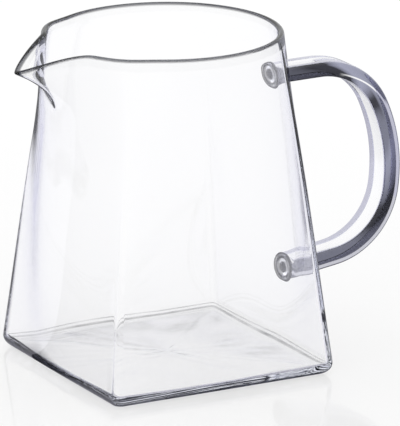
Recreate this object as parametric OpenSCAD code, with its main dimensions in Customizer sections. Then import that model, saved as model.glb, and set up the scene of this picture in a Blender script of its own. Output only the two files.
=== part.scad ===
// Glass pitcher with a square base, a round mouth, a pulled V spout and a strap handle.
// The origin is the middle of the underside. +Z is up, the handle points to +X and the spout to -X.
// All sizes are in millimetres and all angles in degrees.

/* [Base] */
// Side of the square base, measured between opposite walls where they would meet the table
base_w = 100; // [88:1:114]
// Outer radius of the four upright corners at the base
corner_r = 3; // [2:0.5:8]
// Inner radius of the four upright corners at the base
inner_corner_r = 2; // [1:0.5:9]
// Radius of the heel, where the walls turn under into the base
heel_r = 5.4; // [4:0.2:8]
// Radius inside the vessel, where the walls meet the floor
inner_heel_r = 4.4; // [2:0.2:6]
// Thickness of the glass floor
floor_t = 4; // [2.5:0.25:6]

/* [Body] */
// Height from the table to the top of the rim
body_h = 136; // [120:1:154]
// Outer diameter of the round mouth
mouth_d = 92.8; // [84:0.4:102]
// Thickness of the wall, and of the rounded rim
wall_t = 2; // [1.6:0.1:3]
// How far the middle of each side swells past a straight taper
side_swell = 4.7; // [0:0.1:6]
// How far the upright corners swell past a straight taper
corner_swell = 1.1; // [0:0.1:2]

/* [Spout] */
// How far the tip of the spout stands out from the round mouth
spout_reach = 20.4; // [13:0.2:25]
// How far the tip of the spout hangs below the rim
spout_drop = 8.2; // [4:0.2:12]
// How far down the wall the spout's keel runs
spout_depth = 28; // [24:1:42]
// Angle from the tip to where one lip of the V meets the mouth, seen from the axis
spout_half_angle = 26; // [20:1:32]
// Part of the reach that widens the mouth beside the spout
shoulder_out = 2.8; // [0:0.2:5]
// Angle from the tip to where that widening ends
shoulder_angle = 60; // [50:1:70]
// How far down the wall that widening runs
shoulder_depth = 42; // [32:1:52]

/* [Handle] */
// Width of the strap at its upper end
strap_w = 12.2; // [9:0.2:14]
// Thickness of the strap at its upper end
strap_t = 6.25; // [4.5:0.25:7.5]
// Width of the strap from the grip down to its lower end
lower_strap_w = 13; // [9:0.2:14]
// Thickness of the strap from the grip down to its lower end
lower_strap_t = 7.5; // [4.5:0.25:8.5]
// Radius of the strap's long edges
strap_edge_r = 1; // [0.8:0.1:2]
// Depth of the upper arm's middle below the rim, at the wall
handle_below_rim = 23.5; // [20:0.5:30]
// Length of the straight part of the upper arm, without its weld
upper_arm_l = 15.8; // [10:0.2:22]
// Rise of the upper arm as it leaves the wall
upper_rise = 0.6; // [0:0.2:6]
// Bend radius of the handle's upper corner
upper_bend_r = 29; // [24:0.5:34]
// Turn of the upper corner
upper_turn = 65.4; // [60:0.2:70]
// Bend radius of the long outer side of the handle
grip_bend_r = 65; // [56:0.5:72]
// Turn of the long outer side
grip_turn = 33; // [28:0.5:38]
// Bend radius of the handle's lower corner
lower_bend_r = 29.5; // [24:0.5:34]
// Rise of the lower arm as it leaves the wall
lower_rise = 8; // [4:0.2:14]

/* [Welds] */
// Length of each weld, from the wall to the end of the strap
weld_l = 3.2; // [2.6:0.2:5]
// Width of the bead of melted glass round each weld
bead_w = 13.4; // [12.6:0.2:16]
// Height of the bead of melted glass round each weld
bead_h = 11.6; // [9:0.2:14]
// Distance of the bead's crest from the wall
bead_at = 1.1; // [0.6:0.1:1.6]
// How far the melted glass draws in again between the bead and the wall
bead_pinch = 0.3; // [0:0.1:0.6]

/* [Hidden] */

vessel_colour = [0.86, 0.89, 0.95, 0.5];
handle_colour = [0.62, 0.65, 0.78, 0.8];
weld_colour = [0.45, 0.47, 0.55, 0.8];

half_w = base_w / 2;
mouth_r = mouth_d / 2;
rim_r = wall_t / 2;
top_of_wall = body_h - rim_r;
foot_of_spout = body_h - spout_depth;
inner_foot = floor_t + inner_heel_r;
// Past a surface that is cut away
overrun = 1;
// Depth that each weld's blank reaches into the wall before the wall's form is cut from it
weld_sink = bead_h / 4;

// Steps round the body: over a plain half side, over a half side at the spout, over half a corner
side_n = 6;
spout_n = 13;
corner_n = 3;
// How strongly the steps crowd towards the tip of the spout
crowd_share = 1.7;
// Steps up the body: round the heel, up to the spout's foot, up to the rim, and over the rim
heel_n = 5;
lower_wall_n = 6;
upper_wall_n = 9;
rim_n = 6;
// Steps round each bend of the handle
bend_n = 14;
grip_n = 10;
// Steps along a weld, along its neck, and round a quarter of it
weld_n = 9;
neck_n = 3;
quarter_n = 6;

// Curves of the spout: its lip seen from above, its dip towards the tip, and its keel
lip_curve_share = 1.6;
dip_curve_share = 1.9;
keel_curve_share = 2;
dip_fade_share = 1.4;
shoulder_fade_share = 1.2;
// Half angle over which the tip of the V is rounded
tip_angle = 1.6;
// Stretch over which the shoulder blends into the round mouth, as a share of its angle
shoulder_blend_share = 0.38;
// How much steeper the swell of the walls is below its peak than above it
swell_lean_share = 1.7;
// Corner radius of the bead, as a share of its height
bead_round_share = 0.47;

function mix(a, b, k) = a + (b - a) * k;
function clamp(k) = min(1, max(0, k));
function smooth(k) = let (c = clamp(k)) c * c * (3 - 2 * c);
// A curve that is 0 at both ends and 1 at its peak below the middle, and the same from the far end
swell_peak = 1 / (1 + swell_lean_share);
function low_swell(k) =
    k / swell_peak * pow((1 - k) / (1 - swell_peak), swell_lean_share);
function high_swell(k) = low_swell(1 - k);

// Angle from the middle of the nearest side to a direction, from 0 to 45
function folded(a) = let (m = a - 90 * floor(a / 90)) min(m, 90 - m);

// Distance from the axis to a square with rounded corners
function square_r(a, r) =
    let (f = folded(a), k = half_w - r)
    tan(f) * half_w <= k
        ? half_w / cos(f)
        : k * (cos(f) + sin(f)) + sqrt(max(0, r * r - k * k * (1 - sin(2 * f))));

// Distance from the axis to the wall at a height. The square turns steadily into the round
// mouth, and the inset moves the surface inwards.
function wall_r(a, z, r, inset) =
    let (
        k = clamp(z / body_h),
        side = square_r(a, r) * (1 - inset / half_w),
        swell = mix(corner_swell * high_swell(k), side_swell * low_swell(k), (1 + cos(4 * a)) / 2)
    )
    mix(side, mouth_r - inset, k) + swell;
function wall_x(z) = wall_r(0, z, corner_r, 0);

// The V of the spout, from 0 beside it to 1 at its tip, and the widening beside it
function vee(a) =
    clamp((spout_half_angle - norm([a - 180, tip_angle])) / (spout_half_angle - tip_angle));
function shoulder(a) =
    smooth((shoulder_angle - abs(a - 180)) / (shoulder_angle * shoulder_blend_share));
function fade(depth, reach, bend) = pow(clamp(1 - depth / reach), bend);

// How far the spout moves a point of the wall outwards, and down
function pull_out(a, depth) =
    (spout_reach - shoulder_out) * pow(vee(a), lip_curve_share)
        * fade(depth, spout_depth, keel_curve_share)
    + shoulder_out * shoulder(a) * fade(depth, shoulder_depth, shoulder_fade_share);
function pull_down(a, depth) =
    spout_drop * pow(vee(a), dip_curve_share) * fade(depth, spout_depth, dip_fade_share);

function wall_point(a, z, r, inset) =
    let (depth = max(0, top_of_wall - z), out = wall_r(a, z, r, inset) + pull_out(a, depth))
    [out * cos(a), out * sin(a), z - pull_down(a, depth)];

// Directions of the upright lines of points. Each eighth of a turn runs from the middle of a
// side to a corner, or back.
function corner_angle(k) =
    let (c = half_w - corner_r, b = 45 * k / corner_n)
    atan2(c + corner_r * sin(b), c + corner_r * cos(b));
function eighth(n, bend) = concat(
    [for (k = [0:n - 1]) corner_angle(0) * pow(k / n, bend)],
    [for (k = [0:corner_n]) corner_angle(k)]
);
plain_eighth = eighth(side_n, 1);
spout_eighth = eighth(spout_n, crowd_share);
angles = [
    for (e = [0:7])
        let (s = e == 3 || e == 4 ? spout_eighth : plain_eighth, m = len(s) - 1)
        for (k = [0:m - 1])
            e % 2 == 0 ? 45 * e + s[k] : 45 * (e + 1) - s[m - k]
];

function ring(z, r, inset) = [for (a = angles) wall_point(a, z, r, inset)];

// Rings of the outer surface, from the edge of the underside up to the rim
outer_rings = concat(
    [for (i = [0:heel_n])
        let (t = 90 * i / heel_n)
        ring(heel_r * (1 - cos(t)), corner_r, heel_r * (1 - sin(t)))],
    [for (i = [1:lower_wall_n]) ring(mix(heel_r, foot_of_spout, i / lower_wall_n), corner_r, 0)],
    [for (i = [1:upper_wall_n])
        ring(mix(foot_of_spout, top_of_wall, i / upper_wall_n), corner_r, 0)]
);

// Rings over the rounded rim, from the outside to the inside
rim_rings = [
    for (i = [1:rim_n - 1])
        let (t = 180 * i / rim_n, k = (1 - cos(t)) / 2, lift = rim_r * sin(t))
        [for (a = angles)
            mix(wall_point(a, top_of_wall, corner_r, 0),
                wall_point(a, top_of_wall, inner_corner_r, wall_t), k) + [0, 0, lift]]
];

// Rings of the inner surface, from the rim down to the edge of the floor
inner_rings = concat(
    [for (i = [0:upper_wall_n - 1])
        ring(mix(top_of_wall, foot_of_spout, i / upper_wall_n), inner_corner_r, wall_t)],
    [for (i = [0:lower_wall_n - 1])
        ring(mix(foot_of_spout, inner_foot, i / lower_wall_n), inner_corner_r, wall_t)],
    [for (i = [0:heel_n])
        let (t = 90 * i / heel_n)
        ring(inner_foot - inner_heel_r * sin(t), inner_corner_r,
            wall_t + inner_heel_r * (1 - cos(t)))]
);

// Where the middle of the strap goes, as X and Z: the wall, the strap's end, and its bends
upper_wall = [wall_x(body_h - handle_below_rim), body_h - handle_below_rim];
function along(p, heading, l) = p + l * [cos(heading), sin(heading)];
function bend_point(p, heading, r, turn) =
    p + r * [sin(heading) - sin(heading - turn), cos(heading - turn) - cos(heading)];
grip_heading = upper_rise - upper_turn;
lower_heading = grip_heading - grip_turn;
arm_heading = lower_rise - 180;
lower_turn = lower_heading - arm_heading;
strap_start = along(upper_wall, upper_rise, weld_l);
upper_bend = along(strap_start, upper_rise, upper_arm_l);
grip_bend = bend_point(upper_bend, upper_rise, upper_bend_r, upper_turn);
lower_bend = bend_point(grip_bend, grip_heading, grip_bend_r, grip_turn);
lower_arm = bend_point(lower_bend, lower_heading, lower_bend_r, lower_turn);
// Height where the lower arm's line meets the wall, found from a first guess at half the base
function meets_wall(x) = lower_arm[1] - (lower_arm[0] - x) * tan(lower_rise);
lower_wall_z = meets_wall(wall_x(meets_wall(half_w)));
lower_wall = [wall_x(lower_wall_z), lower_wall_z];
strap_end = along(lower_wall, lower_rise, weld_l);

// Ring of points round a rounded rectangle, square to a heading in the XZ plane
function section(p, heading, w, t, r) = [
    for (q = [0:3]) for (j = [0:quarter_n])
        let (
            a = 90 * (q + j / quarter_n),
            y = (q == 0 || q == 3 ? w / 2 - r : r - w / 2) + r * cos(a),
            out = (q < 2 ? t / 2 - r : r - t / 2) + r * sin(a)
        )
        [p[0] - out * sin(heading), y, p[1] + out * cos(heading)]
];
// The strap thickens over the first quarter turn of its upper corner and grip
function strap_ring(p, heading) =
    let (k = smooth((upper_rise - heading) / 90))
    section(p, heading, mix(strap_w, lower_strap_w, k), mix(strap_t, lower_strap_t, k), strap_edge_r);
function strap_bend(p, heading, r, turn, n) = [
    for (i = [1:n])
        let (t = turn * i / n)
        strap_ring(bend_point(p, heading, r, t), heading - t)
];

// Ring of points across a weld, at a distance from the wall
function weld_ring(p, rise, u, w, t) =
    let (
        k = smooth((weld_l - u) / (weld_l - bead_at)),
        neck = bead_pinch * pow(clamp(1 - u / bead_at), 2)
    )
    section(along(p, rise, u), rise,
        mix(w, bead_w, k) - 2 * neck,
        mix(t, bead_h, k) - 2 * neck,
        mix(strap_edge_r, bead_h * bead_round_share, k) - neck);

// A closed skin through rings of equal length, with an end at its first and its last ring
function middle(ring) =
    [for (axis = [0:2]) [for (p = ring) p[axis]] * [for (p = ring) 1] / len(ring)];
module skin(rings) {
    n = len(rings[0]);
    last = len(rings) - 1;
    first_middle = n * len(rings);
    polyhedron(
        points = concat(
            [for (one_ring = rings) each one_ring],
            [middle(rings[0]), middle(rings[last])]
        ),
        faces = concat(
            [for (i = [0:n - 1]) [i, (i + 1) % n, first_middle]],
            [for (j = [0:last - 1]) for (i = [0:n - 1])
                let (a = j * n + i, b = j * n + (i + 1) % n)
                each [[a, a + n, b], [b, a + n, b + n]]],
            [for (i = [0:n - 1]) [last * n + (i + 1) % n, last * n + i, first_middle + 1]]
        )
    );
}

// The blown body: floor, four walls, rounded rim and pulled spout in one piece of glass
module vessel() {
    color(vessel_colour)
        difference() {
            skin(concat([ring(-overrun, corner_r, heel_r)], outer_rings, rim_rings, inner_rings));
            translate([-base_w, -base_w, -2 * overrun])
                cube([2 * base_w, 2 * base_w, 2 * overrun]);
        }
}

// The strap handle, from one weld round to the other
module handle() {
    color(handle_colour)
        skin(concat(
            [strap_ring(strap_start, upper_rise), strap_ring(upper_bend, upper_rise)],
            strap_bend(upper_bend, upper_rise, upper_bend_r, upper_turn, bend_n),
            strap_bend(grip_bend, grip_heading, grip_bend_r, grip_turn, grip_n),
            strap_bend(lower_bend, lower_heading, lower_bend_r, lower_turn, bend_n),
            [strap_ring(strap_end, arm_heading)]
        ));
}

// A bead of melted glass between the wall and an end of the strap, of width w and thickness t
module weld(p, rise, w, t) {
    color(weld_colour)
        difference() {
            skin(concat(
                [weld_ring(p, rise, -weld_sink, w, t)],
                [for (i = [0:neck_n]) weld_ring(p, rise, bead_at * i / neck_n, w, t)],
                [for (i = [1:weld_n]) weld_ring(p, rise, mix(bead_at, weld_l, i / weld_n), w, t)]
            ));
            skin(outer_rings);
        }
}

module upper_weld() {
    weld(upper_wall, upper_rise, strap_w, strap_t);
}

module lower_weld() {
    weld(lower_wall, lower_rise, lower_strap_w, lower_strap_t);
}

vessel();
handle();
upper_weld();
lower_weld();
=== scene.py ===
"""Clear glass pitcher with a square base, a round mouth, a pulled V spout and a strap handle.

Everything is in metres in the part's own frame: the origin is the middle of the underside, +Z is
up, the handle points to +X and the spout to -X.
"""
from math import atan2, cos, hypot, pi, radians, sin, sqrt, tan

import bmesh
import bpy
from bpy.props import FloatProperty, FloatVectorProperty, PointerProperty
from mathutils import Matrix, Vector, noise


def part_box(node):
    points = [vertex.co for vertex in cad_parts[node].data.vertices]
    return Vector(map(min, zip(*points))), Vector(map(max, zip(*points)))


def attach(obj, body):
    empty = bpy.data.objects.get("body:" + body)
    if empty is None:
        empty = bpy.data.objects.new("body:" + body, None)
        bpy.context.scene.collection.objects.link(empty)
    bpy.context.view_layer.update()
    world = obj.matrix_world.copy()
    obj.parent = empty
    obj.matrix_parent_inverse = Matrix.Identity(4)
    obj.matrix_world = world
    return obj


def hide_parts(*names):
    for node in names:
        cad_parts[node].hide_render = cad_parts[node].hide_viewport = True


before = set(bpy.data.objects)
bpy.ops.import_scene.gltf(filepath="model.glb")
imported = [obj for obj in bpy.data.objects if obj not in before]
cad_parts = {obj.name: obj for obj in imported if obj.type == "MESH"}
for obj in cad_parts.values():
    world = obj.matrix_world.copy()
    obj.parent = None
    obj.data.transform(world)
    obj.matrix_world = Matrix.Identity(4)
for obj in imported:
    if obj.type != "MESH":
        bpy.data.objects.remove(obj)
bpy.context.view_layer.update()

bl_info = {
    "name": "Glass pitcher",
    "version": (1, 0, 0),
    "blender": (4, 5, 0),
    "location": "View3D > Sidebar > Pitcher",
    "description": "Models a clear glass pitcher with its handle, and the white table under it",
    "category": "Object",
}

MM = 0.001
BODY = "root"
# Attributes that the shapes leave for the materials: painted shade lines, and places on the strap
DARK, ACROSS, ALONG = "dark", "across", "along"
_, VESSEL_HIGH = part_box("vessel")


# ------------------------ sizes and colours

def length(name, description, millimetres):
    return FloatProperty(name=name, description=description, default=millimetres * MM,
                         min=0.0, unit="LENGTH", subtype="DISTANCE")


def angle(name, description, degrees):
    return FloatProperty(name=name, description=description, default=radians(degrees),
                         unit="ROTATION", subtype="ANGLE")


def share(name, description, default):
    return FloatProperty(name=name, description=description, default=default,
                         min=0.0, max=1.0, subtype="FACTOR")


def amount(name, description, default):
    return FloatProperty(name=name, description=description, default=default, min=0.0,
                         subtype="UNSIGNED")


def colour(name, description, default):
    return FloatVectorProperty(name=name, description=description, default=default, size=3,
                               min=0.0, max=1.0, subtype="COLOR")


class BodySizes(bpy.types.PropertyGroup):
    """Sizes of the blown body."""
    base_width: length("Base width", "Side of the square base", 100)
    corner_radius: length("Corner radius", "Outer radius of the upright corners", 3)
    inner_corner: length("Inner corner", "Inner radius of the upright corners", 2)
    heel_radius: length("Heel radius", "Radius where the walls turn under", 5.4)
    inner_heel: length("Inner heel", "Radius where the walls meet the floor inside", 2)
    floor_thickness: length("Floor thickness", "Thickness of the glass floor", 4)
    floor_lift: length("Underside lift", "How far the middle of the underside is pushed up", 0.5)
    height: length("Height", "Height of the rim", VESSEL_HIGH.z / MM)
    mouth_width: length("Mouth width", "Outer width of the round mouth", 92.8)
    wall_thickness: length("Wall thickness", "Thickness of the wall", 2)
    rim_radius: length("Rim radius", "Radius of the fire-polished rim", 1.3)
    side_swell: length("Side swell", "How far the sides swell past a straight taper", 4.7)
    corner_swell: length("Corner swell", "How far the corners swell past a straight taper", 1.1)
    unevenness: length("Unevenness", "How far the melted floor and heel wander", 0.22)
    ripple: length("Ripple", "Height of the small ripples in the melted heel", 0.1)


class SpoutSizes(bpy.types.PropertyGroup):
    """Sizes of the pulled spout."""
    reach: length("Reach", "How far the tip stands out from the mouth", 20.4)
    drop: length("Drop", "How far the tip hangs below the rim", 8.2)
    depth: length("Depth", "How far down the wall the keel runs", 28)
    half_angle: angle("Half angle", "Half the angle that the V takes up at the mouth", 26)
    tip_angle: angle("Tip angle", "Half angle over which the tip is rounded", 1.6)
    shoulder_reach: length("Shoulder reach", "Widening of the mouth beside the spout", 2.8)
    shoulder_angle: angle("Shoulder angle", "Angle from the tip where the widening ends", 60)
    shoulder_depth: length("Shoulder depth", "How far down the wall the widening runs", 42)


class HandleSizes(bpy.types.PropertyGroup):
    """Sizes of the strap handle and its welds."""
    width: length("Upper width", "Width of the strap at its upper end", 12.2)
    thickness: length("Upper thickness", "Thickness of the strap at its upper end", 6.25)
    lower_width: length("Lower width", "Width of the strap from the grip down", 13)
    lower_thickness: length("Lower thickness", "Thickness of the strap from the grip down", 7.5)
    edge_radius: length("Edge radius", "Radius of the strap's long edges", 1)
    below_rim: length("Below the rim", "Depth of the upper arm below the rim", 23.5)
    upper_arm: length("Upper arm", "Straight part of the upper arm", 15.8)
    upper_rise: angle("Upper rise", "Rise of the upper arm as it leaves the wall", 0.6)
    upper_bend: length("Upper bend", "Bend radius of the upper corner", 29)
    upper_turn: angle("Upper turn", "Turn of the upper corner", 65.4)
    grip_bend: length("Grip bend", "Bend radius of the long outer side", 65)
    grip_turn: angle("Grip turn", "Turn of the long outer side", 33)
    lower_bend: length("Lower bend", "Bend radius of the lower corner", 29.5)
    lower_rise: angle("Lower rise", "Rise of the lower arm as it leaves the wall", 8)
    weld_length: length("Weld length", "From the wall to the plain strap", 3.2)
    bead_width: length("Bead width", "Width of the melted bead at the wall", 13.4)
    bead_height: length("Bead height", "Height of the melted bead at the wall", 11.6)
    bead_at: length("Bead crest", "Distance of the bead's crest from the wall", 1.1)
    pad: length("Pad", "Thickness of the melted pad on the wall", 1.2)
    pocket: length("Pocket", "Depth of the small hollow in the middle of a pad", 0.45)
    seam: length("Seam", "Gap left between two pieces of glass", 0.02)


class GlassLook(bpy.types.PropertyGroup):
    """Look of the glass."""
    ior: amount("Refraction", "Index of refraction of borosilicate glass", 1.47)
    roughness: share("Roughness", "Roughness of the fire-polished surface", 0.0)
    tint: colour("Tint", "Colour that thick glass takes", (0.72, 0.76, 0.92))
    tint_strength: amount("Tint strength", "Absorption per metre of glass", 5)
    # Painted shade: the glass's colour darkens light that was mirrored inside it, by how many times
    shade: colour("Shade", "Colour that light mirrored once inside the glass comes out with",
                  (0.012, 0.013, 0.02))
    pale_painted_shade: colour("Pale shade", "Colour that light mirrored to and fro inside the glass comes out with",
                 (0.72, 0.72, 0.86))
    strap_shade: colour("Strap shade", "Colour that light mirrored once inside the strap comes out "
                        "with", (0.4, 0.4, 0.48))
    weld_ior: amount("Weld refraction", "Index of refraction of the welds, low because they are "
                     "one glass with the wall and the strap", 1.1)
    # Painted light: the welds glow in rings, though they are no lamp
    painted_weld_glow: amount("Weld light", "Light that the strap guides to the rings of its welds", 0.3)
    wave_size: length("Wave size", "Size of the soft waves in the blown wall", 22)
    wave_height: length("Wave height", "Height of the soft waves", 0.05)


class StageLook(bpy.types.PropertyGroup):
    """Look of the table and the light."""
    table: colour("Table", "Colour of the table", (0.26, 0.26, 0.26))
    table_glow: amount("Table glow", "White that the table adds by itself", 0.64)
    seen_glow: amount("Table through glass", "White that the table adds where glass shows it", 0.76)
    # Painted reflection: table colours that only the outside of the glass mirrors at its outlines
    aside: colour("Aside", "Colour that the outside of the glass mirrors at its outlines",
                  (0.3, 0.3, 0.35))
    left_light: colour("Left light", "Colour that they mirror from the light on the left",
                       (0.8, 0.8, 0.88))
    mirrored_table: colour("Mirrored table", "Colour of the table where glass mirrors it",
                           (0.78, 0.78, 0.88))
    low_light: amount("Low light", "Brightness of what the glass's inner mirror images show", 0.92)
    sky: amount("Studio light", "Strength of the white studio round the object", 1.0)


class PitcherSettings(bpy.types.PropertyGroup):
    """All settings of the pitcher."""
    body: PointerProperty(type=BodySizes)
    spout: PointerProperty(type=SpoutSizes)
    handle: PointerProperty(type=HandleSizes)
    glass: PointerProperty(type=GlassLook)
    stage: PointerProperty(type=StageLook)


# ------------------------ form of the blown body

# Points round the body: on half a side, on half the spout's side and on half a corner
SIDE_N, SPOUT_N, CORNER_N = 10, 22, 5
# Rings of points on the underside, a heel, the lower wall, the upper wall and the rim
UNDER_N, HEEL_N, LOWER_N, UPPER_N, RIM_N = 7, 8, 14, 16, 8
# Where the ring nearest to the middle of the floor lies, as a part of the steps between rings
FIRST_RING_SHARE = 0.25
# How the points crowd towards the spout, and how the spout's curves bend
CROWD_SHARE = 1.7
LIP_CURVE_SHARE = 1.6
DIP_CURVE_SHARE = 1.9
KEEL_CURVE_SHARE = 2.0
DIP_FADE_SHARE = 1.4
SHOULDER_FADE_SHARE = 1.2
SHOULDER_BLEND_SHARE = 0.38
# How low the swelling of the sides sits, and over what part of the floor's half width it fades
SWELL_LEAN_SHARE = 1.7
SWELL_FADE_SHARE = 0.25
# How far down the bead of the rim reaches, in rim radii
RIM_FADE_SHARE = 4
# The painted shade line along the rim: the height on its round where it starts, and how softly it
# does
RIM_LINE_FROM, RIM_LINE_SOFTNESS = 0.16, 0.28
# The painted shade lines round the melted base: how dark they are outside and inside, and how they
# vary
OUTER_SHADE_LINE_SHARE, INNER_SHADE_LINE_SHARE, SHADE_LINE_DRIFT_SHARE = 0.75, 0.7, 0.45
SHADE_LINE_DRIFT_SIZE = 9 * MM
# Sizes of the drift and of the ripples in the melted floor, and how high above it they reach
DRIFT_SIZE, RIPPLE_SIZE, MELTED_HEIGHT = 14 * MM, 5 * MM, 12 * MM


def mix(a, b, k):
    return a + (b - a) * k


def clamp(k):
    return min(1.0, max(0.0, k))


def smooth(k):
    k = clamp(k)
    return k * k * (3 - 2 * k)


def low_swell(k):
    """A swelling of 1 at its peak, which sits low, and of 0 at both ends."""
    peak = 1 / (1 + SWELL_LEAN_SHARE)
    return k / peak * ((1 - k) / (1 - peak)) ** SWELL_LEAN_SHARE


def fade(depth, reach, bend):
    return clamp(1 - depth / reach) ** bend


class BlownForm:
    """Points on the blown body's surfaces, worked out from its sizes."""

    def __init__(self, body, spout):
        self.b, self.s = body, spout
        self.half = body.base_width / 2
        self.mouth = body.mouth_width / 2
        self.top = body.height - body.rim_radius

    def square(self, a, r):
        """Distance from the middle to the base's rounded square."""
        m = a % (pi / 2)
        f, k = min(m, pi / 2 - m), self.half - r
        if tan(f) * self.half <= k:
            return self.half / cos(f)
        return k * (cos(f) + sin(f)) + sqrt(max(0.0, r * r - k * k * (1 - sin(2 * f))))

    def wall_r(self, a, z, r, inset):
        """Distance from the middle to the wall, without the spout."""
        k = clamp(z / self.b.height)
        side = self.square(a, r) * (1 - inset / self.half)
        swell = mix(self.b.corner_swell * low_swell(1 - k), self.b.side_swell * low_swell(k),
                    (1 + cos(4 * a)) / 2)
        return mix(side, self.mouth - inset, k) + swell * clamp(
            (self.half - inset) / self.half / SWELL_FADE_SHARE)

    def point(self, a, z, r, inset):
        """Point at an angle and a height, on the outer surface moved in by an inset."""
        s = self.s
        turn, depth = a - pi, max(0.0, self.top - z)
        vee = clamp((s.half_angle - hypot(turn, s.tip_angle)) / (s.half_angle - s.tip_angle))
        shoulder = smooth(
            (s.shoulder_angle - abs(turn)) / (s.shoulder_angle * SHOULDER_BLEND_SHARE))
        out = self.wall_r(a, z, r, inset)
        out += (s.reach - s.shoulder_reach) * vee ** LIP_CURVE_SHARE * fade(
            depth, s.depth, KEEL_CURVE_SHARE)
        out += s.shoulder_reach * shoulder * fade(depth, s.shoulder_depth, SHOULDER_FADE_SHARE)
        down = s.drop * vee ** DIP_CURVE_SHARE * fade(depth, s.depth, DIP_FADE_SHARE)
        return Vector((out * cos(a), out * sin(a), z - down))

    def face_x(self, y, z):
        """X of the outer surface of the handle's wall at a width and height."""
        x = self.half
        for _ in range(6):
            r = self.wall_r(atan2(y, x), z, self.b.corner_radius, 0)
            x = sqrt(r * r - y * y)
        return x

    def angles(self):
        """Angles of the points round the body, octant by octant, crowded at the spout's tip and
        on the corners."""
        c, r = self.half - self.b.corner_radius, self.b.corner_radius
        turns = [radians(45 * k / CORNER_N) for k in range(CORNER_N + 1)]
        corner = [atan2(c + r * sin(t), c + r * cos(t)) for t in turns]
        found = []
        for e in range(8):
            n, bend = (SPOUT_N, CROWD_SHARE) if e in (3, 4) else (SIDE_N, 1)
            steps = [corner[0] * (k / n) ** bend for k in range(n)] + corner
            m = len(steps) - 1
            for k in range(m):
                found.append(e * pi / 4 + steps[k] if e % 2 == 0
                             else (e + 1) * pi / 4 - steps[m - k])
        return found


# ------------------------ modelling

def deselect_all():
    for ob in bpy.context.selected_objects:
        ob.select_set(False)


def loft(name, rings, marks=None):
    """Extrudes one ring of edges through a list of rings of points, closes both ends, and
    subdivides the skin. Each mark, a function of a ring's and a point's number, is kept as an
    attribute that the material reads."""
    marks = marks or {}
    deselect_all()
    bpy.ops.mesh.primitive_circle_add(vertices=len(rings[0]), radius=rings[0][0].length,
                                      fill_type="NOTHING", location=(0, 0, 0))
    ob = bpy.context.object
    ob.name = ob.data.name = name
    bpy.ops.object.mode_set(mode="EDIT")
    bpy.ops.mesh.select_mode(type="VERT")
    bm = bmesh.from_edit_mesh(ob.data)
    line = bm.verts.layers.int.new("line")
    for i, v in enumerate(bm.verts):
        v[line] = i
        v.co = rings[0][i]
    bpy.ops.mesh.edge_face_add()
    bpy.ops.mesh.select_all(action="SELECT")
    for mark in marks:
        bm.verts.layers.float.new(mark)
    for v in bm.verts:
        for mark, value in marks.items():
            v[bm.verts.layers.float[mark]] = value(0, v[bm.verts.layers.int["line"]])
    for n, ring in enumerate(rings[1:], 1):
        bpy.ops.mesh.extrude_edges_move()
        bm = bmesh.from_edit_mesh(ob.data)
        line = bm.verts.layers.int["line"]
        for v in bm.verts:
            if v.select:
                v.co = ring[v[line]]
                for mark, value in marks.items():
                    v[bm.verts.layers.float[mark]] = value(n, v[line])
    bpy.ops.mesh.edge_face_add()
    bpy.ops.mesh.select_all(action="SELECT")
    bpy.ops.mesh.normals_make_consistent(inside=False)
    bm = bmesh.from_edit_mesh(ob.data)
    bm.verts.layers.int.remove(bm.verts.layers.int["line"])
    bpy.ops.object.mode_set(mode="OBJECT")
    sub = ob.modifiers.new("Smooth skin", "SUBSURF")
    sub.levels = sub.render_levels = 1
    sub.use_limit_surface = False
    bpy.ops.object.modifier_apply(modifier=sub.name)
    bpy.ops.object.shade_smooth()
    return ob


def drift(p, size, reach):
    """A slow, repeatable wandering of a point's height."""
    return reach * noise.noise(Vector((p.x, p.y, 0)) / size)


def quarter(i):
    """Angle of a ring on a heel, a quarter turn in all."""
    return pi / 2 * i / HEEL_N


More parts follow.
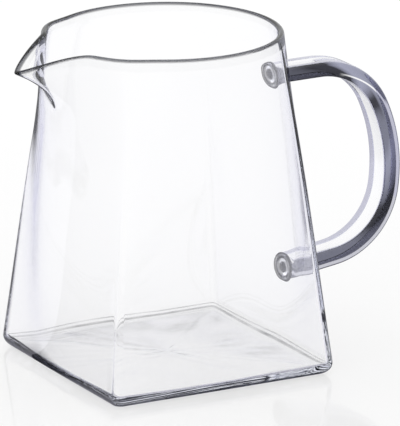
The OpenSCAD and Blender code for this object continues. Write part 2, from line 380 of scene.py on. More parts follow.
def body_rings(form):
    """Rings of points from the middle of the underside, up the outside, over the rim and down
    the inside to the middle of the floor, and how dark the painted shade lines make some of them."""
    b = form.b
    lines = form.angles()
    foot = b.height - form.s.depth
    inner_foot = b.floor_thickness + b.inner_heel
    rings, painted_shade_marks = [], {}

    def ring(z, r, inset):
        rings.append([form.point(a, z, r, inset) for a in lines])

    def painted_shade_line(seed, strength):
        """Painted shade: a thin dark line along the melted edge that the last ring follows."""
        places = [Vector((p.x, p.y, seed)) / SHADE_LINE_DRIFT_SIZE for p in rings[-1]]
        painted_shade_marks[len(rings) - 1] = [
            clamp(strength + SHADE_LINE_DRIFT_SHARE * noise.noise(place)) for place in places]

    for i in range(UNDER_N):
        k = (i + FIRST_RING_SHARE) / UNDER_N
        ring(b.floor_lift * (1 - k * k), b.corner_radius, mix(form.half, b.heel_radius, k))
    for i in range(HEEL_N + 1):
        t = quarter(i)
        ring(b.heel_radius * (1 - cos(t)), b.corner_radius, b.heel_radius * (1 - sin(t)))
        if i in (2, 3):
            painted_shade_line(0, OUTER_SHADE_LINE_SHARE)
    for i in range(1, LOWER_N + 1):
        ring(mix(b.heel_radius, foot, i / LOWER_N), b.corner_radius, 0)
    for i in range(1, UPPER_N + 1):
        ring(mix(foot, form.top, i / UPPER_N), b.corner_radius, 0)
    outer = rings[-1]
    inner = [form.point(a, form.top, b.inner_corner, 2 * b.rim_radius) for a in lines]
    for i in range(1, RIM_N):
        t = pi * i / RIM_N
        # Painted shade: a dark line along the top of the rim's round
        painted_shade_marks[len(rings)] = [smooth((sin(t) - RIM_LINE_FROM) / RIM_LINE_SOFTNESS)] * len(lines)
        lift = Vector((0, 0, b.rim_radius * sin(t)))
        rings.append([p.lerp(q, (1 - cos(t)) / 2) + lift for p, q in zip(outer, inner)])
    for i in range(UPPER_N):
        z = mix(form.top, foot, i / UPPER_N)
        bead = smooth(1 - (form.top - z) / (RIM_FADE_SHARE * b.rim_radius))
        ring(z, b.inner_corner, mix(b.wall_thickness, 2 * b.rim_radius, bead))
    first_melted = len(rings) + LOWER_N - LOWER_N // 3
    for i in range(LOWER_N):
        ring(mix(foot, inner_foot, i / LOWER_N), b.inner_corner, b.wall_thickness)
    for i in range(HEEL_N + 1):
        t = quarter(i)
        ring(inner_foot - b.inner_heel * sin(t), b.inner_corner,
             b.wall_thickness + b.inner_heel * (1 - cos(t)))
        if i == HEEL_N // 2:
            painted_shade_line(1, INNER_SHADE_LINE_SHARE)
    edge = b.wall_thickness + b.inner_heel
    for i in range(1, UNDER_N + 1):
        ring(b.floor_thickness, b.inner_corner,
             mix(edge, form.half, (i - FIRST_RING_SHARE) / UNDER_N))
    for ring_points in rings[first_melted:]:
        for p in ring_points:
            near = clamp(1 - (p.z - b.floor_thickness) / MELTED_HEIGHT)
            p.z += near * (drift(p, DRIFT_SIZE, b.unevenness) + drift(p, RIPPLE_SIZE, b.ripple))
    return rings, painted_shade_marks


# ------------------------ form of the handle

# Points on each corner of the strap's section, and how much of the way across they are taken for
QUARTER_N = 6
CORNER_ACROSS_SHARE = 0.3
# How round the welds' edges are, as a part of their height, and how much smaller the strap's ends
# are than the welds that they stand on
BEAD_ROUND_SHARE = 0.47
END_INSET = 1.6 * MM
# Rings on an end of the strap against its pad, from the middle out, and rings on its flare
END_SHARES = (0.1, 0.4, 0.7, 0.9, 0.98)
FLARE_N = 7
# Rings on the strap's straight arms, and on its three bends
ARM_SHARES = (0.25, 0.5, 0.75)
BEND_NS = (16, 14, 18)
# Rings on a pad: how far out each is, and how deep in the hollow or how high on the pad
POCKET_SHARES = ((0.04, 1), (0.14, 0.9), (0.24, 0.5), (0.3, 0.1))
PAD_SHARES = ((0.33, 0), (0.5, 0), (0.7, 0), (0.88, 0), (0.93, 0.02), (0.97, 0.14), (0.995, 0.34),
              (1.0, 0.55), (0.985, 0.78), (0.95, 0.94), (0.9, 1), (0.7, 1), (0.45, 1), (0.2, 1),
              (0.05, 1))


def section(p, heading, w, t, r):
    """Ring of points round a rounded rectangle, square to a heading in the XZ plane."""
    points = []
    for q in range(4):
        for j in range(QUARTER_N + 1):
            a = pi / 2 * (q + j / QUARTER_N)
            y = (w / 2 - r if q in (0, 3) else r - w / 2) + r * cos(a)
            out = (t / 2 - r if q < 2 else r - t / 2) + r * sin(a)
            points.append(Vector((p[0] - out * sin(heading), y, p[1] + out * cos(heading))))
    return points


def strap_across(i):
    """How far out a section's point is, from -1 on the strap's inner face to 1 on its outer."""
    q, j = divmod(i, QUARTER_N + 1)
    face = 1 if q < 2 else -1
    return mix(face, sin(pi / 2 * (q + j / QUARTER_N)), CORNER_ACROSS_SHARE)


class HandleForm:
    """The strap's middle line and its sections, worked out from the handle's sizes."""

    def __init__(self, sizes, body_form):
        h = sizes
        self.h, self.form = h, body_form
        z = body_form.b.height - h.below_rim
        self.upper_wall = (body_form.face_x(0, z), z)
        start = self.along(self.upper_wall, h.upper_rise, h.weld_length)
        self.bends = []
        p = self.along(start, h.upper_rise, h.upper_arm)
        heading = h.upper_rise
        lower_arm = h.lower_rise - pi
        for r, turn in ((h.upper_bend, h.upper_turn), (h.grip_bend, h.grip_turn),
                        (h.lower_bend, None)):
            turn = heading - lower_arm if turn is None else turn
            self.bends.append((p, heading, r, turn))
            p = self.bend(p, heading, r, turn)
            heading -= turn
        x = body_form.half
        for _ in range(2):
            z = p[1] - (p[0] - x) * tan(h.lower_rise)
            x = body_form.face_x(0, z)
        z = p[1] - (p[0] - x) * tan(h.lower_rise)
        self.lower_wall = (x, z)
        self.lower_arm_start = p

    @staticmethod
    def along(p, heading, l):
        """Point a length further on, on a heading."""
        return (p[0] + l * cos(heading), p[1] + l * sin(heading))

    @staticmethod
    def bend(p, heading, r, turn):
        """Point further on, after a turn of a radius."""
        return (p[0] + r * (sin(heading) - sin(heading - turn)),
                p[1] + r * (cos(heading - turn) - cos(heading)))

    def strap(self, p, heading):
        """Section of the strap, which thickens over its first quarter turn."""
        h = self.h
        k = smooth((h.upper_rise - heading) / (pi / 2))
        return section(p, heading, mix(h.width, h.lower_width, k),
                       mix(h.thickness, h.lower_thickness, k), h.edge_radius)

    def flare(self, wall, rise, u):
        """Section across a weld at a distance from the wall."""
        h = self.h
        w, t = ((h.width, h.thickness) if wall == self.upper_wall
                else (h.lower_width, h.lower_thickness))
        wide, high = h.bead_width - END_INSET, h.bead_height - END_INSET
        k = smooth((h.weld_length - u) / (h.weld_length - h.bead_at))
        return section(self.along(wall, rise, u), rise, mix(w, wide, k), mix(t, high, k),
                       mix(h.edge_radius, high * BEAD_ROUND_SHARE, k))

    def on_wall(self, p, away):
        """Point at the same width and height, a distance away from the wall."""
        return Vector((self.form.face_x(p.y, p.z) + away, p.y, p.z))

    def end_rings(self, wall, rise):
        """Rings from the middle of the strap's end against the pad to the plain strap."""
        h = self.h
        u = h.pad + h.seam
        edge = self.flare(wall, rise, u)
        centre = Vector((wall[0] + u, 0, wall[1] + u * tan(rise)))
        rings = [[self.on_wall(centre.lerp(p, k), u) for p in edge] for k in END_SHARES]
        for i in range(FLARE_N + 1):
            k = i / FLARE_N
            away = mix(u, h.weld_length, k)
            rings.append([self.on_wall(p, away).lerp(p, smooth(k))
                          for p in self.flare(wall, rise, away)])
        return rings

    def rings(self):
        """Rings from the strap's end on the upper pad, round its three bends, to its other end."""
        h = self.h
        rings = self.end_rings(self.upper_wall, h.upper_rise)
        start = self.along(self.upper_wall, h.upper_rise, h.weld_length)
        p, heading, _, _ = self.bends[0]
        for k in (*ARM_SHARES, 1):
            rings.append(self.strap((mix(start[0], p[0], k), mix(start[1], p[1], k)), heading))
        for (p, heading, r, turn), n in zip(self.bends, BEND_NS):
            for i in range(1, n + 1):
                t = turn * i / n
                rings.append(self.strap(self.bend(p, heading, r, t), heading - t))
        heading = h.lower_rise - pi
        end = self.along(self.lower_wall, h.lower_rise, h.weld_length)
        last = self.lower_arm_start
        for k in ARM_SHARES:
            rings.append(self.strap((mix(last[0], end[0], k), mix(last[1], end[1], k)), heading))
        # The lower end is made looking the other way, so its rings are turned half round
        lower = []
        for ring in self.end_rings(self.lower_wall, h.lower_rise):
            turned = []
            for q in (3, 2, 1, 0):
                part = ring[q * (QUARTER_N + 1):(q + 1) * (QUARTER_N + 1)]
                turned += part[::-1]
            lower.append(turned)
        return rings + lower[::-1]

    def pad_rings(self, wall, rise):
        """Rings of a melted pad: from the hollow in its middle out along the wall, round its
        edge, and back over its face."""
        h = self.h
        edge = section(self.along(wall, rise, 0), rise, h.bead_width, h.bead_height,
                       h.bead_height * BEAD_ROUND_SHARE)
        centre = Vector((wall[0], 0, wall[1]))
        # How far out each ring is, and how far it stands from the wall
        profile = [*((k, h.pocket * depth) for k, depth in POCKET_SHARES),
                   *((k, h.pad * height) for k, height in PAD_SHARES)]
        return [[self.on_wall(centre.lerp(p, k), h.seam + away) for p in edge]
                for k, away in profile]


# ------------------------ materials

WHITE = (1, 1, 1)
# A pair says where a step starts and where it is complete. Steepness is given as the share of
# light that the glass mirrors.
# Steepness at which the painted shade tones of mirrored light come in
BODY_STEEPNESS, STRAP_STEEPNESS, WELD_STEEPNESS = (0.13, 0.3), (-1.0, 0.0), (0.1, 0.3)
# Numbers of mirrorings, from none up, that have painted shade tones of their own
TONES_N = 5
# Height above which light mirrored in the rim is painted dark, and one that no piece reaches
RIM_DARK_ABOVE, OUT_OF_REACH = 131.5 * MM, 1.0
# The spout's place, and how much of the painted shade tones of mirrored light it takes
SPOUT_X, SPOUT_ABOVE, SPOUT_TONE_SHARE = (-45 * MM, -49 * MM), 100 * MM, 0.2
# How the rim's painted dark slopes down along the spout
SPOUT_SLOPE_FROM, SPOUT_SLOPE_SHARE = -46 * MM, 0.39
# Steepness at which light that leaves the glass is painted dark, and how much of that painted shade
# is on the left
EDGE_STEEPNESS = (0.3, 0.5)
LEFT_X, LEFT_EDGE_SHARE = (-15 * MM, -30 * MM), 0.15
# How near to the diagonal the upright corners are, and how much steeper they count above the heel,
# for the painted edge shade
CORNER_NEARNESS = (0.84, 0.9)
CORNER_LINE_HEIGHTS, CORNER_LINE_SHARE = (6 * MM, 12 * MM), 0.15
# The painted shade outline: the wall's radius at the base, its gain with the height, and the line's
# width
SHARP_RADIUS, RADIUS_GAIN = 3 * MM, 0.75
OUTLINE_WIDTHS = (1.5 * MM, 0.7 * MM)
# The same line on the upright corners, which fades out upward
UPRIGHT_NEARNESS, UPRIGHT_FACING = (0.84, 0.92), (0.55, 0.35)
UPRIGHT_HEIGHTS, UPRIGHT_SHARE = (80 * MM, 50 * MM), 0.9
# How dark the body's painted shade lines are
DARK_SHARE = 0.97
# How much of the blown waves each piece has
BODY_WAVES_SHARE, STRAP_WAVES_SHARE, WELD_WAVES_SHARE = 1.0, 0.6, 0.3
# Painted shade on the strap's sides: how much light they let through, from its upper end to its
# lower end, and the shade's tint
STRAP_SIDES = ((0.0, 0.1), (0.07, 0.085), (0.12, 0.03), (0.18, 0.035), (0.22, 0.36), (0.28, 0.33),
               (0.36, 0.2), (0.44, 0.21), (0.49, 0.32), (0.62, 0.035), (0.69, 0.03), (0.76, 0.17))
SIDE_SHADE_TINT = (1, 1.05, 1.7)
# How squarely a side faces along Y, and how much further the painted tones reach on the inner edge
SIDE_FACING = (0.4, 0.7)
SIDE_SLANT_SHARE = 0.06
# The painted dark spot of shade in the upper bend: its place, its reach along and across the strap,
# and its tone
DARK_SPOT_AT, DARK_SPOT_ALONG, DARK_SPOT_ACROSS = 0.34, (0.075, 0.01), (0.05, -0.35)
DARK_SPOT = (0.002, 0.002, 0.003)
# The painted highlight line along the strap's sides: where it starts, where it crosses over, how
# far out it is before and after, and its width
HIGHLIGHT_LINE_START, HIGHLIGHT_LINE_BEND = (0.18, 0.24), (0.18, 0.38)
HIGHLIGHT_LINE_ACROSS = (-0.6, 0.66)
HIGHLIGHT_LINE_WIDTHS = (0.16, 0.06)
# Painted shade rings on a weld: how much light they let through, from its middle to its edge
WELD_SHADE_RINGS = ((0.0, 0.25), (0.36, 0.1), (0.42, 1.0), (0.58, 1.0), (0.64, 0.15), (0.72, 0.15),
              (0.78, 0.8), (0.9, 0.8), (0.96, 0.03))
# Painted light: how brightly a weld glows in rings, standing in for light that the strap guides to
# its welds
WELD_GLOW_RINGS = ((0.0, 0.0), (0.36, 0.0), (0.42, 1.0), (0.58, 1.0), (0.64, 0.0), (0.76, 0.0),
              (0.8, 0.3), (0.88, 0.3), (0.93, 0.0))


class Tree:
    """The nodes of a material or a world, with short ways to add and join them."""

    def __init__(self, owner):
        owner.use_nodes = True
        self.nodes, self.link = owner.node_tree.nodes, owner.node_tree.links.new
        self.path = self.new("ShaderNodeLightPath").outputs
        self.coords = self.new("ShaderNodeTexCoord").outputs

    def feed(self, sockets, values):
        """Links outputs to sockets, or sets plain numbers and colours there."""
        for name, value in values.items():
            socket = sockets[name]
            if isinstance(value, bpy.types.NodeSocket):
                self.link(value, socket)
            else:
                socket.default_value = (*value, 1) if socket.type == "RGBA" else value

    def new(self, kind, values=None, **settings):
        """Adds a node with its settings and the values of its inputs."""
        node = self.nodes.new(kind)
        for name, setting in settings.items():
            setattr(node, name, setting)
        self.feed(node.inputs, values or {})
        return node

    def math(self, operation, *values):
        values = dict(enumerate(values))
        return self.new("ShaderNodeMath", values, operation=operation).outputs[0]

    def product(self, first, *others):
        for other in others:
            first = self.math("MULTIPLY", first, other)
        return first

    def inverse(self, value):
        return self.math("SUBTRACT", 1.0, value)

    def past(self, a, b):
        """How far a is past b, and 0 where it isn't."""
        return self.math("MAXIMUM", self.math("SUBTRACT", a, b), 0.0)

    def apart(self, a, b):
        return self.math("ABSOLUTE", self.math("SUBTRACT", a, b))

    def above(self, value, limit):
        """1 where a value is above a limit, and 0 elsewhere."""
        return self.math("GREATER_THAN", value, limit)

    def ever(self, depth):
        """1 for light with a depth of at least 1 on its path, and 0 for other light."""
        return self.above(self.path[depth], 0.5)

    def between(self, factor, a, b):
        """A number that goes from a to b with a factor."""
        return self.math("ADD", self.product(factor, b - a), a)

    def step(self, value, low, high, top=1.0):
        """A soft step from 0 at a low value to its top at a high one, or the other way round."""
        values = {"Value": value, "From Min": low, "From Max": high, "To Max": top}
        return self.new("ShaderNodeMapRange", values,
                        interpolation_type="SMOOTHSTEP").outputs["Result"]

    def toned(self, factor, a, b, blend="MIX"):
        """One colour laid over another."""
        return self.new("ShaderNodeMix", {"Factor": factor, "A": a, "B": b},
                        data_type="RGBA", blend_type=blend).outputs["Result"]

    def ramp(self, value, levels, interpolation="LINEAR"):
        """A colour that follows a value through pairs of place and colour, the first at 0."""
        node = self.new("ShaderNodeValToRGB", {"Fac": value})
        node.color_ramp.interpolation = interpolation
        stops = node.color_ramp.elements
        for at, level in levels:
            stop = stops[0] if at == 0 else stops.new(at)
            stop.position = at
            stop.color = (*level, 1)
        # The last stop is the one that a new ramp has at 1
        stops.remove(stops[len(stops) - 1])
        return node.outputs["Color"]

    def grey_ramp(self, value, levels):
        """A grey that follows a value through pairs of place and level."""
        return self.ramp(value, [(at, (level,) * 3) for at, level in levels])

    def split(self, vector):
        return self.new("ShaderNodeSeparateXYZ", {0: vector}).outputs

    def attribute(self, name):
        return self.new("ShaderNodeAttribute", attribute_name=name).outputs["Fac"]


def wave_group():
    """Soft waves of blown glass, as a height."""
    name = "Blown waves"
    if name in bpy.data.node_groups:
        return bpy.data.node_groups[name]
    g = bpy.data.node_groups.new(name, "ShaderNodeTree")
    g.interface.new_socket("Vector", in_out="INPUT", socket_type="NodeSocketVector")
    g.interface.new_socket("Scale", in_out="INPUT", socket_type="NodeSocketFloat")
    g.interface.new_socket("Height", in_out="OUTPUT", socket_type="NodeSocketFloat")
    inp, out = g.nodes.new("NodeGroupInput"), g.nodes.new("NodeGroupOutput")
    tex = g.nodes.new("ShaderNodeTexNoise")
    tex.inputs["Detail"].default_value = 1.5
    tex.inputs["Roughness"].default_value = 0.4
    g.links.new(inp.outputs["Vector"], tex.inputs["Vector"])
    g.links.new(inp.outputs["Scale"], tex.inputs["Scale"])
    g.links.new(tex.outputs["Fac"], out.inputs["Height"])
    return g


def clear_glass(name, look, waves_share, mirrored_tones, steepness, dark_above, ior=None,
                body=False, strap=False, weld_middle=None):
    """Clear glass with a faint cool tint that deepens with its thickness. Painted shade: light that
    was mirrored inside the glass leaves it in a tone that depends on how many times it was
    mirrored."""
    mat = bpy.data.materials.new(name)
    tree = Tree(mat)
    shader = tree.nodes["Principled BSDF"].inputs
    tree.feed(shader, {"Roughness": look.roughness, "IOR": ior or look.ior,
                       "Transmission Weight": 1.0})

    place = tree.split(tree.coords["Object"])
    leaving = tree.new("ShaderNodeNewGeometry").outputs["Backfacing"]
    steep = tree.new("ShaderNodeFresnel", {"IOR": look.ior}).outputs["Fac"]
    tone = mirrored_tone(tree, look, place, leaving, steep, mirrored_tones, steepness, dark_above)
    corner = corner_nearness(tree, place)
    tone = painted_edge_shade(tree, look, place, leaving, steep, corner, tone)
    if body:
        # Painted shade: a dark outline that only camera rays see
        tone = tree.toned(outline(tree, place, corner), tone, look.shade)
        # Painted shade lines along the rim and round the base
        tone = tree.toned(tree.product(tree.attribute(DARK), DARK_SHARE), tone, look.shade)
    if strap:
        # Painted shade and a painted highlight line on the strap's long sides
        tone = tree.toned(side_light(tree, leaving), tone, painted_side_tone(tree))
    if weld_middle is not None:
        reach = weld_reach(tree, weld_middle)
        # Painted shade: dark rings on the weld
        tone = tree.toned(1.0, tone, tree.grey_ramp(reach, WELD_SHADE_RINGS), "MULTIPLY")
        # Painted light: the weld glows in rings
        tree.feed(shader, {"Emission Color": tree.grey_ramp(reach, WELD_GLOW_RINGS),
                           "Emission Strength": look.painted_weld_glow})

    waves = tree.new("ShaderNodeGroup", {
        "Vector": tree.coords["Object"], "Scale": 1 / look.wave_size}, node_tree=wave_group())
    bump = tree.new("ShaderNodeBump", {
        "Strength": 1.0, "Distance": look.wave_height * waves_share,
        "Height": waves.outputs["Height"]})
    tree.feed(shader, {"Base Color": tone, "Normal": bump.outputs["Normal"]})
    tint = tree.new("ShaderNodeVolumeAbsorption", {
        "Color": look.tint, "Density": look.tint_strength})
    tree.link(tint.outputs["Volume"], tree.nodes["Material Output"].inputs["Volume"])
    return mat


def mirrored_tone(tree, look, place, leaving, steep, mirrored_tones, steepness, dark_above):
    """Painted shade: tone of light that leaves the glass after being mirrored in it, by the number
    of times, and dark in the rim and along the spout's edges."""
    tones = tree.ramp(tree.math("DIVIDE", tree.path["Glossy Depth"], TONES_N), [
        (max(0, n - 0.5) / TONES_N, tone)
        for n, tone in enumerate((WHITE, *mirrored_tones))], "CONSTANT")
    spout = tree.product(tree.step(place["X"], *SPOUT_X), tree.above(place["Z"], SPOUT_ABOVE))
    share = tree.product(tree.step(steep, *steepness), tree.between(spout, 1.0, SPOUT_TONE_SHARE))
    tone = tree.toned(tree.product(leaving, share), WHITE, tones)
    slope = tree.product(tree.past(SPOUT_SLOPE_FROM, place["X"]), SPOUT_SLOPE_SHARE)
    height = tree.math("ADD", place["Z"], slope)
    dark = tree.product(leaving, tree.ever("Glossy Depth"), tree.above(height, dark_above))
    return tree.toned(dark, tone, look.shade)


def corner_nearness(tree, place):
    """How near a point is to one of the body's upright corners, at most 1."""
    sides = [tree.math("ABSOLUTE", place[axis]) for axis in "XY"]
    return tree.math("DIVIDE", tree.math("MINIMUM", *sides), tree.math("MAXIMUM", *sides))


def painted_edge_shade(tree, look, place, leaving, steep, corner, tone):
    """The tone, with painted shade where light leaves the glass very steeply."""
    line = tree.product(tree.step(corner, *CORNER_NEARNESS),
                        tree.step(place["Z"], *CORNER_LINE_HEIGHTS, CORNER_LINE_SHARE))
    steeper = tree.product(steep, tree.math("ADD", 1.0, line))
    left = tree.step(place["X"], *LEFT_X)
    lost = tree.product(tree.step(steeper, *EDGE_STEEPNESS),
                        tree.between(left, 1.0, LEFT_EDGE_SHARE))
    return tree.toned(tree.product(leaving, lost), tone, look.shade)


def outline(tree, place, corner):
    """1 on a thin line of painted shade along the body's outline. How far a point is from it
    follows from how steeply it is seen and from the wall's radius, which grows from the sharp base
    to the mouth."""
    facing = tree.inverse(tree.new("ShaderNodeLayerWeight", {"Blend": 0.5}).outputs["Facing"])
    radius = tree.math("ADD", tree.product(place["Z"], RADIUS_GAIN), SHARP_RADIUS)
    line = tree.step(tree.product(facing, facing, radius), *OUTLINE_WIDTHS)
    upright = tree.product(tree.step(corner, *UPRIGHT_NEARNESS),
                           tree.step(place["Z"], *UPRIGHT_HEIGHTS, UPRIGHT_SHARE),
                           tree.step(facing, *UPRIGHT_FACING))
    return tree.product(tree.path["Is Camera Ray"], tree.math("MAXIMUM", line, upright))


def side_light(tree, leaving):
    """1 where light enters the strap by its long sides."""
    side = tree.split(tree.coords["Normal"])["Y"]
    facing = tree.step(tree.math("ABSOLUTE", side), *SIDE_FACING)
    return tree.past(facing, leaving)


def painted_side_tone(tree):
    """Painted shade and a painted highlight for that light: dark along the arm and the lower
    corner, paler in the bends, with a dark spot in the upper bend and a white highlight line along
    the outer edge."""
    across, along = tree.attribute(ACROSS), tree.attribute(ALONG)
    slanted = tree.math("ADD", along, tree.product(across, SIDE_SLANT_SHARE))
    tone = tree.ramp(slanted, [(at, tuple(level * level * c for c in SIDE_SHADE_TINT))
                               for at, level in STRAP_SIDES])
    spot = tree.product(tree.step(tree.apart(along, DARK_SPOT_AT), *DARK_SPOT_ALONG),
                        tree.step(across, *DARK_SPOT_ACROSS))
    tone = tree.toned(spot, tone, DARK_SPOT)
    middle = tree.between(tree.step(along, *HIGHLIGHT_LINE_BEND), *HIGHLIGHT_LINE_ACROSS)
    line = tree.product(tree.step(tree.apart(across, middle), *HIGHLIGHT_LINE_WIDTHS),
                        tree.step(along, *HIGHLIGHT_LINE_START))
    return tree.toned(line, tone, WHITE)


def weld_reach(tree, middle):
    """How far out a point of a weld is, from 0 in its middle to 1 on its edge."""
    x, z, half_width, half_height = middle
    # A very wide scale along X leaves nothing of the distance from the wall
    scaled = tree.new("ShaderNodeMapping", {
        "Vector": tree.coords["Object"], "Location": (x, 0, z),
        "Scale": (1000, half_width, half_height)}, vector_type="TEXTURE")
    return tree.new("ShaderNodeVectorMath", {0: scaled.outputs["Vector"]},
                    operation="LENGTH").outputs["Value"]


# ------------------------ table, light and camera

# The table: its size, how far it lies below the pitcher, and its gloss
TABLE_RADIUS, TABLE_SIDES, TABLE_GAP = 6, 96, 0.05 * MM
TABLE_ROUGHNESS, TABLE_IOR, TABLE_SPECULAR = 0.05, 1.18, 0.5
# Directions on the table, away from the photograph's side and to the left of that
BACKWARD, LEFTWARD = (0.4757, 0.8796), (-0.8796, 0.4757)
# The painted light on the left and its painted dark gap in the table's colour: where the gap
# starts, its tone, and the slopes away from the view at which it ends and the light is full
GAP_FROM, GAP = 50 * MM, (0.02, 0.02, 0.025)
LEFT_LIGHT_SLOPES = (0.2, 0.45)
# Brightness of the room above the table, by the sine of the height above the horizon
ROOM = ((0.0, 1.0), (0.03, 0.4), (0.1, 0.05), (0.75, 0.04), (0.85, 0.8))
# Passes through glass: after more, light shows the table's own mirror image of the pitcher, or
# only runs about in the glass
IMAGE_PASSES, LOST_PASSES = 2.5, 6.5
# The photograph's camera
CAMERA_AT, CAMERA_TOWARDS = (-1.11807, -2.09546, 0.75299), (0.4567, 0.8445, -0.27971)
CAMERA_LENS, CAMERA_SENSOR, CAMERA_CLIP = 526.72, 36, (0.1, 100)


def outside_mirrored(tree):
    """1 for a ray that only the outside of the glass has mirrored. The table isn't polished as
    sharply as glass, so its own mirror image isn't one."""
    return tree.product(tree.path["Is Singular Ray"], tree.ever("Glossy Depth"),
                        tree.inverse(tree.ever("Transmission Depth")))


def left_light(tree, look):
    """Painted reflection: what the outside of the glass mirrors at its outlines, a light on the
    left painted into the table's colour, with a dark gap between it and the background."""
    place = tree.split(tree.coords["Object"])

    def distance(direction):
        x, y = direction
        return tree.math("ADD", tree.product(place["X"], x), tree.product(place["Y"], y))

    behind, beside = distance(BACKWARD), distance(LEFTWARD)
    slope = tree.math("DIVIDE", tree.math("SUBTRACT", beside, GAP_FROM), behind)
    lit = tree.toned(tree.step(slope, *LEFT_LIGHT_SLOPES), GAP, look.left_light)
    return tree.toned(tree.above(beside, 0.0), look.aside, lit)


def table_surface(look):
    """White and faintly glossy, and a little brighter where glass shows it."""
    mat = bpy.data.materials.new("White table")
    tree = Tree(mat)
    path = tree.path
    through = path["Is Transmission Ray"]
    seen = tree.math("MAXIMUM", path["Is Camera Ray"], path["Is Glossy Ray"])
    seen = tree.math("MAXIMUM", seen, through)
    in_glass = tree.product(tree.ever("Glossy Depth"), tree.ever("Transmission Depth"))
    outlined = outside_mirrored(tree)
    glow = tree.product(tree.between(through, look.table_glow, look.seen_glow),
                        tree.inverse(outlined))
    tree.feed(tree.nodes["Principled BSDF"].inputs, {
        "Roughness": TABLE_ROUGHNESS, "IOR": TABLE_IOR,
        "Specular IOR Level": tree.between(through, TABLE_SPECULAR, 0.0),
        # Painted reflection: the table's colour where only the outside of the glass mirrors it
        "Base Color": tree.toned(outlined, look.table, left_light(tree, look)),
        "Emission Color": tree.toned(in_glass, WHITE, look.mirrored_table),
        "Emission Strength": tree.product(seen, glow)})
    return mat


def studio_world(scene, look):
    """White all round for the camera and the table. Light that has gone through glass finds a dark
    room above the table, with a soft box overhead."""
    world = bpy.data.worlds.new("Studio")
    scene.world = world
    tree = Tree(world)
    path = tree.path
    # Only rays that leave the scene by themselves read it, so each finds its own part of the room
    world.cycles.sampling_method = "NONE"
    room = tree.grey_ramp(tree.split(tree.coords["Generated"])["Z"], ROOM)
    # The table's own mirror image of the pitcher keeps its white background
    image = tree.product(tree.math("COMPARE", path["Glossy Depth"], 1.0),
                         tree.above(path["Transmission Depth"], IMAGE_PASSES))
    through = tree.product(tree.ever("Transmission Depth"), tree.inverse(image))
    specular = tree.product(tree.math("MAXIMUM", through, outside_mirrored(tree)),
                            tree.inverse(tree.ever("Diffuse Depth")))
    lost = tree.math("MAXIMUM", tree.ever("Glossy Depth"),
                     tree.above(path["Transmission Depth"], LOST_PASSES))
    room = tree.toned(lost, room, (look.low_light,) * 3)
    tree.feed(tree.nodes["Background"].inputs, {
        "Color": WHITE, "Strength": tree.toned(specular, (look.sky,) * 3, room)})


def camera(scene):
    deselect_all()
    bpy.ops.object.camera_add(location=CAMERA_AT)
    ob = bpy.context.object
    ob.name = "Camera"
    ob.rotation_mode = "QUATERNION"
    ob.rotation_quaternion = Vector(CAMERA_TOWARDS).to_track_quat("-Z", "Y")
    ob.data.lens = CAMERA_LENS
    ob.data.sensor_width = CAMERA_SENSOR
    ob.data.clip_start, ob.data.clip_end = CAMERA_CLIP
    scene.camera = ob


# ------------------------ operators

def finish_piece(ob, material, *nodes_replaced, slot):
    """Gives a piece its glass, puts it under the body and hides the CAD nodes that it replaces."""
    ob.data.materials.clear()
    ob.data.materials.append(material)
    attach(ob, BODY)
    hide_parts(*nodes_replaced)


class PITCHER_OT_body(bpy.types.Operator):
    """Blow the square body, pull its spout and melt its rim"""
    bl_idname = "glass_pitcher.body"
    bl_label = "Blown body"

    def execute(self, context):
        s = context.scene.glass_pitcher
        rings, painted_shade_marks = body_rings(BlownForm(s.body, s.spout))
        ob = loft("blown_body", rings,
                  {DARK: lambda n, i: painted_shade_marks[n][i] if n in painted_shade_marks else 0.0})
        glass = clear_glass("Blown glass", s.glass, BODY_WAVES_SHARE, [s.glass.pale_painted_shade] * 4,
                            BODY_STEEPNESS, RIM_DARK_ABOVE, body=True)
        finish_piece(ob, glass, "vessel", slot="vessel")
        return {"FINISHED"}


class PITCHER_OT_handle(bpy.types.Operator):
    """Bend the strap handle and flare its two ends"""
    bl_idname = "glass_pitcher.handle"
    bl_label = "Strap handle"

    def execute(self, context):
        s = context.scene.glass_pitcher
        rings = HandleForm(s.handle, BlownForm(s.body, s.spout)).rings()
        middles = [sum(ring, Vector()) / len(ring) for ring in rings]
        steps = [0.0] + [(b - a).length for a, b in zip(middles, middles[1:])]
        n_along = [sum(steps[:n + 1]) / sum(steps) for n in range(len(steps))]
        ob = loft("strap_handle", rings, {ACROSS: lambda n, i: strap_across(i),
                                          ALONG: lambda n, i: n_along[n]})
        glass = clear_glass("Handle glass", s.glass, STRAP_WAVES_SHARE,
                            [s.glass.strap_shade, s.glass.pale_painted_shade] * 2,
                            STRAP_STEEPNESS, OUT_OF_REACH, strap=True)
        finish_piece(ob, glass, "handle", slot="handle")
        return {"FINISHED"}


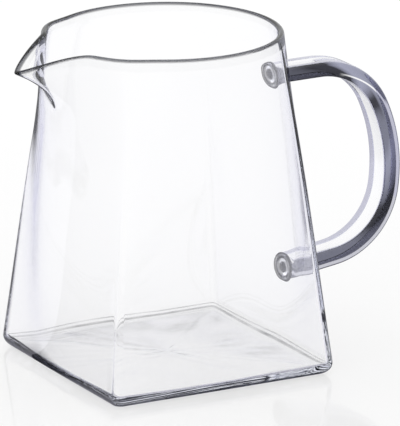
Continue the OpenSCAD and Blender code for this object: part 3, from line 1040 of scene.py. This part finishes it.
class PITCHER_OT_welds(bpy.types.Operator):
    """Melt the two pads of glass that hold the handle on the wall"""
    bl_idname = "glass_pitcher.welds"
    bl_label = "Handle welds"

    def execute(self, context):
        s = context.scene.glass_pitcher
        form = HandleForm(s.handle, BlownForm(s.body, s.spout))
        for name, wall, rise in (("upper_weld", form.upper_wall, s.handle.upper_rise),
                                 ("lower_weld", form.lower_wall, s.handle.lower_rise)):
            ob = loft(name.replace("weld", "pad"), form.pad_rings(wall, rise))
            middle = (wall[0], wall[1], s.handle.bead_width / 2, s.handle.bead_height / 2)
            glass = clear_glass(name.replace("_", " ") + " glass", s.glass, WELD_WAVES_SHARE,
                                [s.glass.pale_painted_shade] * 4, WELD_STEEPNESS, OUT_OF_REACH,
                                ior=s.glass.weld_ior, weld_middle=middle)
            finish_piece(ob, glass, name, slot=name)
        return {"FINISHED"}


class PITCHER_OT_stage(bpy.types.Operator):
    """Set up the white table, the soft studio light and the camera"""
    bl_idname = "glass_pitcher.stage"
    bl_label = "Table, light and camera"

    def execute(self, context):
        look = context.scene.glass_pitcher.stage
        deselect_all()
        bpy.ops.mesh.primitive_circle_add(vertices=TABLE_SIDES, radius=TABLE_RADIUS,
                                          fill_type="NGON", location=(0, 0, -TABLE_GAP))
        table = context.object
        table.name = "table"
        table.data.materials.append(table_surface(look))
        studio_world(context.scene, look)
        camera(context.scene)
        return {"FINISHED"}


class PITCHER_PT_panel(bpy.types.Panel):
    """Steps of the pitcher"""
    bl_idname = "PITCHER_PT_panel"
    bl_label = "Glass pitcher"
    bl_space_type = "VIEW_3D"
    bl_region_type = "UI"
    bl_category = "Pitcher"

    def draw(self, context):
        for step in STEPS:
            self.layout.operator(step.bl_idname)


SETTINGS = (BodySizes, SpoutSizes, HandleSizes, GlassLook, StageLook, PitcherSettings)
STEPS = (PITCHER_OT_body, PITCHER_OT_handle, PITCHER_OT_welds, PITCHER_OT_stage)
CLASSES = (*SETTINGS, *STEPS, PITCHER_PT_panel)


def register():
    for cls in CLASSES:
        bpy.utils.register_class(cls)
    bpy.types.Scene.glass_pitcher = PointerProperty(type=PitcherSettings)


def unregister():
    del bpy.types.Scene.glass_pitcher
    for cls in reversed(CLASSES):
        bpy.utils.unregister_class(cls)


def main():
    register()
    bpy.ops.glass_pitcher.body()
    bpy.ops.glass_pitcher.handle()
    bpy.ops.glass_pitcher.welds()
    bpy.ops.glass_pitcher.stage()
    scene = bpy.context.scene
    scene.view_settings.view_transform = "Standard"
    scene.cycles.max_bounces = 32
    scene.cycles.transmission_bounces = 32
    scene.cycles.glossy_bounces = 16
    scene.cycles.use_denoising = True


if __name__ == "__main__":
    main()
